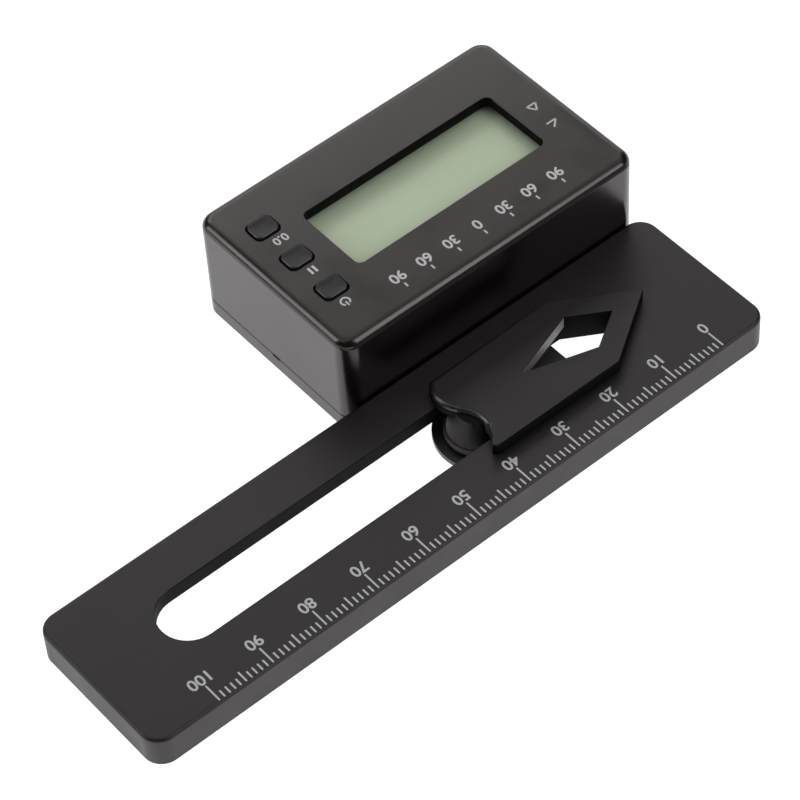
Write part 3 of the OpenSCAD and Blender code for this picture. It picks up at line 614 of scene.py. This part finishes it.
def slider_wall(place, normal):
    """Walls in the window, under the thumb edge and towards the scale get painted shade.

    One wall of the window gets a painted highlight, and the thumb edge a glossier finish whose slightly
    lighter colour is painted sheen.
    """
    rear = place.x > REAR_X
    above_plate = place.z > PLATE_TOP
    if rear and place.z > SLIDER_HI.z - REAR_BAND:
        if place.z < SLIDER_HI.z - THUMB_R and not 0.1 < normal.z < 0.5:
            return SHADED
        if normal.x > 0.2 or normal.y < -0.2:
            return THUMB
    upright = abs(normal.z) < 0.1
    if upright and rear and above_plate and normal.x > 0.5 and place.y < SLOT_Y:
        return SHADED
    if abs(normal.z) > 0.9:
        return PLAIN
    in_window = WINDOW_START_X < place.x < WINDOW_END_X and abs(place.y - SLOT_Y) < WINDOW_HALF_WIDTH
    if in_window:
        # The window's wall that faces the scale gets the painted highlight, the other walls painted shade.
        return PAINTED_LIGHT if normal.y > 0.9 and above_plate else SHADED
    return SHADED if normal.y > 0.5 and above_plate else PLAIN


def rounded_loop(length, width, radius, z, centre, steps=6):
    """Points of a rectangle with round corners at height z."""
    points = []
    for quarter in range(4):
        sx = (1, -1, -1, 1)[quarter]
        sy = (1, 1, -1, -1)[quarter]
        middle = Vector((centre.x + sx * (length / 2 - radius), centre.y + sy * (width / 2 - radius), z))
        for step in range(steps + 1):
            angle = (quarter + step / steps) * math.pi / 2
            points.append(middle + radius * Vector((math.cos(angle), math.sin(angle), 0)))
    return points


def circle_loop(radius, z, centre, steps=24):
    turns = [2 * math.pi * step / steps for step in range(steps)]
    return [Vector((centre.x + radius * math.cos(t), centre.y + radius * math.sin(t), z)) for t in turns]


def loft(work, loops):
    """Closed body through loops with the same number of points, from the lowest to the highest."""
    rings = [[work.verts.new(point) for point in loop] for loop in loops]
    for low, high in zip(rings, rings[1:]):
        for k in range(len(low)):
            n = (k + 1) % len(low)
            work.faces.new((low[k], low[n], high[n], high[k]))
    work.faces.new(rings[0][::-1])
    work.faces.new(rings[-1])


def finished_mesh(work, name):
    mesh = bpy.data.meshes.new(name)
    bmesh.ops.recalc_face_normals(work, faces=work.faces)
    work.to_mesh(mesh)
    work.free()
    smooth(mesh)
    return mesh


def key(name):
    """One key: dished cap with soft edges, retaining flange and stem."""
    node = "button_" + name
    lo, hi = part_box(node)
    middle = (lo + hi) / 2
    length = hi.x - lo.x - 2 * KEY_FLANGE
    width = hi.y - lo.y - 2 * KEY_FLANGE
    flange_z = KEY_FLANGE_TOP - KEY_FLANGE_T
    work = bmesh.new()

    def ring(margin, z):
        corner = max(KEY_CORNER_R + margin, KEY_CORNER_LEAST_R)
        return rounded_loop(length + 2 * margin, width + 2 * margin, corner, z, middle)

    loops = [ring(KEY_FLANGE, flange_z), ring(KEY_FLANGE, KEY_FLANGE_TOP)]
    loops += [ring(0, KEY_FLANGE_TOP), ring(0, hi.z - KEY_EDGE_R)]
    for step in range(1, KEY_EDGE_STEPS + 1):
        angle = step / KEY_EDGE_STEPS * math.pi / 2
        loops.append(ring(-KEY_EDGE_R * (1 - math.cos(angle)), hi.z - KEY_EDGE_R * (1 - math.sin(angle))))
    for inward in KEY_DISH_RINGS:
        depth = KEY_DISH * (1 - ((KEY_DISH_MIDDLE - inward) / KEY_DISH_REACH) ** 2)
        loops.append(ring(-inward, hi.z - depth))
    loft(work, loops)
    stem_top = flange_z + KEY_STEM_SINK
    loft(work, [circle_loop(KEY_STEM_R, z, middle) for z in (lo.z, stem_top)])
    mesh = finished_mesh(work, "key_" + name)
    piece("key_" + name, mesh, name + "_key", FINISHES["button_plastic"], "button_plastic", node)
    # The rounded edge of the cap gets the glossier edge finish, whose slightly lighter colour is painted
    # sheen.
    mesh.materials.append(PAINTED_SHEEN_EDGE)
    for face in mesh.polygons:
        face.material_index = int(face.center.z > hi.z - KEY_EDGE_R and face.normal.z < 0.9)


class Print:
    """Flat print that collects bars, arcs and numerals, and becomes one piece."""

    def __init__(self, top):
        self.work = bmesh.new()
        self.low = top - INK_SINK
        self.high = top + INK_T

    def slab(self, points):
        """Closed slab over a flat outline."""
        low = [self.work.verts.new((x, y, self.low)) for x, y in points]
        high = [self.work.verts.new((x, y, self.high)) for x, y in points]
        self.work.faces.new(high)
        self.work.faces.new(low[::-1])
        for k in range(len(points)):
            n = (k + 1) % len(points)
            self.work.faces.new((low[k], low[n], high[n], high[k]))

    def bar(self, start, end, width):
        """Straight stroke from start to end."""
        start, end = Vector(start), Vector(end)
        along = (end - start).normalized()
        side = Vector((-along.y, along.x)) * width / 2
        self.slab([start - side, end - side, end + side, start + side])

    def arc(self, centre, radius, width, first, last, steps=32):
        """Stroke along an arc from first to last, in degrees; a whole turn has that many steps."""
        count = max(3, round(steps * (last - first) / 360))
        angles = [math.radians(first + (last - first) * k / count) for k in range(count + 1)]
        for a, b in zip(angles, angles[1:]):
            inner, outer = radius - width / 2, radius + width / 2
            corners = [(inner, a), (outer, a), (outer, b), (inner, b)]
            self.slab([(centre[0] + r * math.cos(t), centre[1] + r * math.sin(t)) for r, t in corners])

    def words(self, text, centre, height, weight):
        """Numerals of the built-in font, centred on a place and as tall as height."""
        curve = bpy.data.curves.new("numerals", "FONT")
        curve.body = text
        curve.align_x = "CENTER"
        curve.align_y = "CENTER"
        curve.size = height / FONT_HEIGHT
        curve.offset = weight
        curve.extrude = (self.high - self.low) / 2
        made = bpy.data.objects.new("numerals", curve)
        scene.collection.objects.link(made)
        made.location = (centre[0], centre[1], (self.low + self.high) / 2)
        bpy.context.view_layer.update()
        mesh = bpy.data.meshes.new_from_object(made.evaluated_get(bpy.context.evaluated_depsgraph_get()))
        mesh.transform(made.matrix_world)
        self.work.from_mesh(mesh)
        bpy.data.objects.remove(made)
        bpy.data.meshes.remove(mesh)
        bpy.data.curves.remove(curve)

    def finish(self, name, material, slot):
        mesh = bpy.data.meshes.new(name)
        bmesh.ops.remove_doubles(self.work, verts=self.work.verts, dist=0.0005 * MM)
        self.work.to_mesh(mesh)
        self.work.free()
        piece(name, mesh, "gauge", material, slot)


def scale_print():
    """Millimetre scale with a numeral at each ten."""
    marks = Print(PLATE_TOP)
    for tick in range(SCALE_LENGTH + 1):
        step = 10 if tick % 10 == 0 else 5 if tick % 5 == 0 else 1
        x = ZERO_X + tick * MM
        marks.bar((x, TICK_Y), (x, TICK_Y - TICK_LENGTHS[step]), TICK_W)
    for tick in range(0, SCALE_LENGTH + 1, 10):
        marks.words(str(tick), (ZERO_X + tick * MM, TICK_Y - DIGIT_BACK), DIGIT_H, weight=DIGIT_WEIGHT)
    marks.finish("scale_print", SCALE_INK, "plate_plastic")


def degree_row(marks):
    """Angles from 90 through 0 to 90 beside the display, with a tick at each."""
    for k in range(-3, 4):
        x = ROW_X + k * ROW_STEP
        marks.words(str(abs(k) * 30), (x, ROW_Y), ROW_DIGIT_H, weight=ROW_DIGIT_WEIGHT)
        marks.bar((x, ROW_Y + ROW_TICK_START), (x, ROW_Y + ROW_TICK_END), STROKE)


def key_signs(marks):
    """A zero, two bars and a power sign, each beside its key."""
    places = {}
    for name in KEYS:
        lo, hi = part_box("button_" + name)
        places[name] = ((lo.x + hi.x) / 2 + SIGN_SHIFTS[name], (lo.y + hi.y) / 2 + SIGN_BACK)
    marks.words("0.0", places["zero"], ZERO_SIGN_H, weight=DIGIT_WEIGHT)
    hold_x, hold_y = places["hold"]
    for side in (-1, 1):
        x = hold_x + side * HOLD_BAR_W
        marks.bar((x, hold_y - HOLD_BAR_L / 2), (x, hold_y + HOLD_BAR_L / 2), HOLD_BAR_W)
    power_x, power_y = places["power"]
    marks.arc((power_x, power_y), POWER_SIGN_R, STROKE, 125, 415)
    marks.bar((power_x, power_y + POWER_BAR_START), (power_x, power_y + POWER_BAR_END), STROKE)


def far_signs(marks):
    """An angle and a triangle at the far end."""
    left, right = FAR_SIGNS_X - FAR_SIGN_HALF, FAR_SIGNS_X + FAR_SIGN_HALF
    along, up = ANGLE_SIGN_RISE
    marks.bar((left, ANGLE_SIGN_Y), (left + ANGLE_SIGN_FLAT, ANGLE_SIGN_Y), STROKE)
    marks.bar((left, ANGLE_SIGN_Y), (left + along, ANGLE_SIGN_Y + up), STROKE)
    corners = [(left, TRIANGLE_Y), (right, TRIANGLE_Y), (FAR_SIGNS_X, TRIANGLE_Y + TRIANGLE_H)]
    for a, b in zip(corners, corners[1:] + corners[:1]):
        marks.bar(a, b, STROKE)


def case_print():
    """Plain degree row beside the display, a sign beside each key and two small signs at the far end."""
    marks = Print(SHELL_TOP)
    degree_row(marks)
    key_signs(marks)
    far_signs(marks)
    marks.finish("case_print", CASE_INK, "case_plastic")


def cross_cut(work, centre, top, depth, reach, width):
    """A cross to cut out of a screw head that faces down."""
    a, b = reach / 2, width / 2
    arm = [(a, -b), (a, b), (b, b)]
    outline = []
    for _ in range(4):
        outline += arm
        arm = [(-y, x) for x, y in arm]
    loft(work, [[(centre.x + x, centre.y + y, z) for x, y in outline] for z in (top - depth, top + depth)])


def solids_of(node):
    """The separate solids of a node, each as its (lowest, highest) corner."""
    work = bmesh.new()
    work.from_mesh(frame["nodes"][node].data)
    bmesh.ops.remove_doubles(work, verts=work.verts, dist=0.001 * MM)
    left = set(work.verts)
    boxes = []
    while left:
        group, front = set(), [left.pop()]
        while front:
            vert = front.pop()
            group.add(vert)
            for edge in vert.link_edges:
                other = edge.other_vert(vert)
                if other in left:
                    left.remove(other)
                    front.append(other)
        lo = Vector(min(v.co[i] for v in group) for i in range(3))
        hi = Vector(max(v.co[i] for v in group) for i in range(3))
        boxes.append((lo, hi))
    work.free()
    return sorted(boxes, key=lambda box: tuple(box[0]))


def screw_set(node, name, body, head_r, head_h, shank_r, cone):
    """Screws that point up, with a crowned or countersunk head below, a cross recess and rolled threads."""
    work = bmesh.new()
    cut = bmesh.new()
    for lo, hi in solids_of(node):
        middle = (lo + hi) / 2
        loops = [(head_r * share, lo.z + height) for share, height in CROWN]
        if not cone:
            loops.append((head_r, lo.z + head_h))
        loops.append((shank_r, lo.z + head_h))
        z = lo.z + head_h + THREAD_START
        while z < hi.z - THREAD_END:
            loops += [(shank_r, z), (shank_r * THREAD_ROOT, z + THREAD_PITCH / 2)]
            z += THREAD_PITCH
        loops += [(shank_r * THREAD_ROOT, hi.z - POINT_L), (shank_r * POINT_SHARE, hi.z)]
        loft(work, [circle_loop(r, height, middle, 32) for r, height in loops])
        cross_cut(cut, middle, lo.z, RECESS_DEPTH, head_r * RECESS_REACH, head_r * RECESS_WIDTH)
    mesh = finished_mesh(work, name)
    made = piece(name, mesh, body, FINISHES["steel"], "steel", node)
    tool = bpy.data.objects.new("recess_tool", finished_mesh(cut, "recess_tool"))
    scene.collection.objects.link(tool)
    boolean = made.modifiers.new("recess", "BOOLEAN")
    boolean.operation = "DIFFERENCE"
    boolean.solver = "EXACT"
    boolean.object = tool
    bpy.context.view_layer.update()
    settled = bpy.data.meshes.new_from_object(made.evaluated_get(bpy.context.evaluated_depsgraph_get()))
    made.modifiers.clear()
    made.data = settled
    smooth(settled)
    settled.materials.clear()
    settled.materials.append(FINISHES["steel"])
    bpy.data.objects.remove(tool)


def dress_nodes():
    """Each node gets its slot's finish, and those that no piece below replaces are shown as they are."""
    slots = {part["node"]: part["material_slot"] for part in frame["record"]["subparts"]}
    for name, node in frame["nodes"].items():
        node.data.materials.clear()
        node.data.materials.append(FINISHES[slots[name]])


def floor():
    signs = ((-1, -1), (1, -1), (1, 1), (-1, 1))
    mesh = bpy.data.meshes.new("floor")
    mesh.from_pydata([(x * FLOOR_HALF, y * FLOOR_HALF, 0) for x, y in signs], [], [(0, 1, 2, 3)])
    mesh.materials.append(floor_finish())
    made = bpy.data.objects.new("floor", mesh)
    scene.collection.objects.link(made)


def soft_box(name, place, aim, width, depth, radiance):
    """Rectangular soft light of that radiance, turned to its aim."""
    light = bpy.data.lights.new(name, "AREA")
    light.shape = "RECTANGLE"
    light.size = width
    light.size_y = depth
    light.energy = radiance * math.pi * width * depth
    made = bpy.data.objects.new(name, light)
    scene.collection.objects.link(made)
    made.location = place
    made.rotation_euler = (Vector(aim) - Vector(place)).to_track_quat("-Z", "Y").to_euler()


def studio():
    """Five soft lights above and round the part, a dim room and the light floor."""
    floor()
    centre = (-0.01, 0.0, 0.01)
    soft_box("back_box", (-0.60, -1.00, 0.88), (-0.60, 0.0, 0.01), 1.5, 0.46, 2.5)
    soft_box("top_box", (-0.10, -0.30, 1.35), (-0.10, -0.30, 0.01), 2.4, 1.2, 0.60)
    soft_box("front_box", (-0.45, 0.76, 0.82), centre, 0.5, 0.85, 3.5)
    soft_box("end_box", (0.90, -0.67, 0.64), centre, 0.4, 0.8, 3.9)
    soft_box("rear_box", (-0.78, -0.95, 0.36), centre, 1.3, 0.6, 0.8)
    world = bpy.data.worlds.new("room")
    world.use_nodes = True
    world.node_tree.nodes["Background"].inputs["Color"].default_value = (1, 1, 1, 1)
    world.node_tree.nodes["Background"].inputs["Strength"].default_value = 0.05
    scene.world = world
    scene.view_settings.view_transform = "Standard"


def camera():
    data = bpy.data.cameras.new("camera")
    data.sensor_width = SENSOR_WIDTH
    data.lens = CAMERA_LENS
    data.clip_start = 0.01
    made = bpy.data.objects.new("camera", data)
    scene.collection.objects.link(made)
    turn = Matrix.Rotation(CAMERA_AZIMUTH, 4, "Z")
    tilt = Matrix.Rotation(math.pi / 2 - CAMERA_ELEVATION, 4, "X")
    roll = Matrix.Rotation(CAMERA_ROLL, 4, "Z")
    made.matrix_world = Matrix.Translation(CAMERA_PLACE) @ turn @ tilt @ roll
    scene.camera = made


dress_nodes()
skin("base_plate", "plate", "gauge", "plate_plastic", plate_edge, plate_wall)
skin("front_shell", "shell", "gauge", "case_plastic", shell_edge, display_wall)
skin("slider_body", "slider", "slider", "slider_plastic", slider_edge, slider_wall, rim_top=SLIDER_HI.z)
skin("slider_backplate", "slider_plate", "slider", "slider_plastic", fine_edge, finish=CLAMP)
skin("slider_pad", "pad", "slider", "rubber", fine_edge, finish=PAD)
skin("battery_cap", "cap", "cap", "case_plastic", even_edge)
for key_name in KEYS:
    key(key_name)
screw_set("case_screws", "case_screw_set", "gauge", 1.8 * MM, 1.2 * MM, 0.95 * MM, False)
screw_set("slider_screws", "slider_screw_set", "slider", 1.7 * MM, 0.85 * MM, 0.85 * MM, True)
scale_print()
case_print()
studio()
camera()
